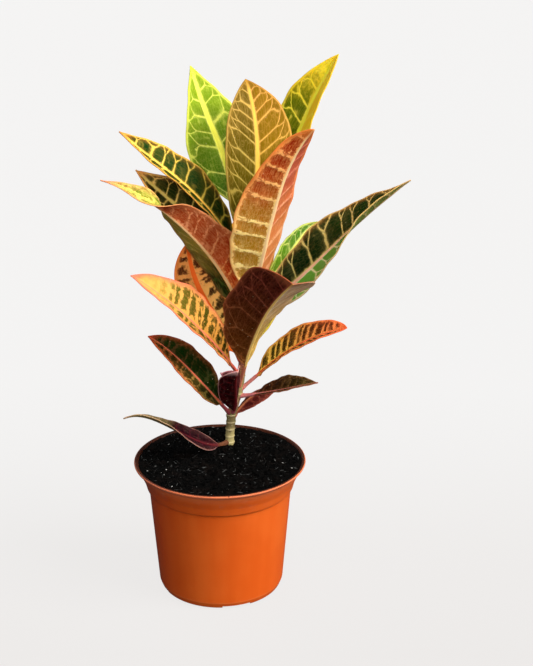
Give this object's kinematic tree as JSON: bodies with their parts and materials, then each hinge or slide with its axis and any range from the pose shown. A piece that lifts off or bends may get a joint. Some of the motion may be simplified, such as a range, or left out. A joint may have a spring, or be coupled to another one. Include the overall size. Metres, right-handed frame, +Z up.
{
  "type": "potted croton",
  "caption": "Young croton with leathery yellow, orange, green and maroon leaves on one bare woody stem, standing in dark soil in a flared round plastic pot.",
  "frame": {"origin": "middle of the pot's flat underside", "axes": "+Z up the plant, -Y towards the front, +X to the right as seen from the front"},
  "size_m": [0.214, 0.1606, 0.392],
  "materials": {
    "pot_plastic": "satin",
    "potting_soil": "matte",
    "stem_bark": "matte",
    "leaf_yellow": "satin",
    "leaf_olive": "satin",
    "leaf_orange": "satin",
    "leaf_dark_green": "satin",
    "leaf_light_green": "satin",
    "leaf_maroon": "satin"
  },
  "bodies": {
    "root": {"pot": "pot_plastic", "soil": "potting_soil", "stem": "stem_bark", "leaf_01": "leaf_yellow", "leaf_02": "leaf_olive", "leaf_03": "leaf_yellow", "leaf_04": "leaf_orange", "leaf_05": "leaf_dark_green", "leaf_06": "leaf_dark_green", "leaf_07": "leaf_maroon", "leaf_08": "leaf_orange", "leaf_09": "leaf_orange", "leaf_10": "leaf_maroon", "leaf_11": "leaf_dark_green", "leaf_12": "leaf_light_green", "leaf_13": "leaf_orange", "leaf_14": "leaf_dark_green", "leaf_15": "leaf_maroon", "leaf_16": "leaf_maroon", "leaf_17": "leaf_maroon", "leaf_18": "leaf_maroon", "leaf_19": "leaf_maroon", "leaf_20": "leaf_olive", "leaf_21": "leaf_light_green", "leaf_22": "leaf_dark_green"}
  },
  "joints": []
}
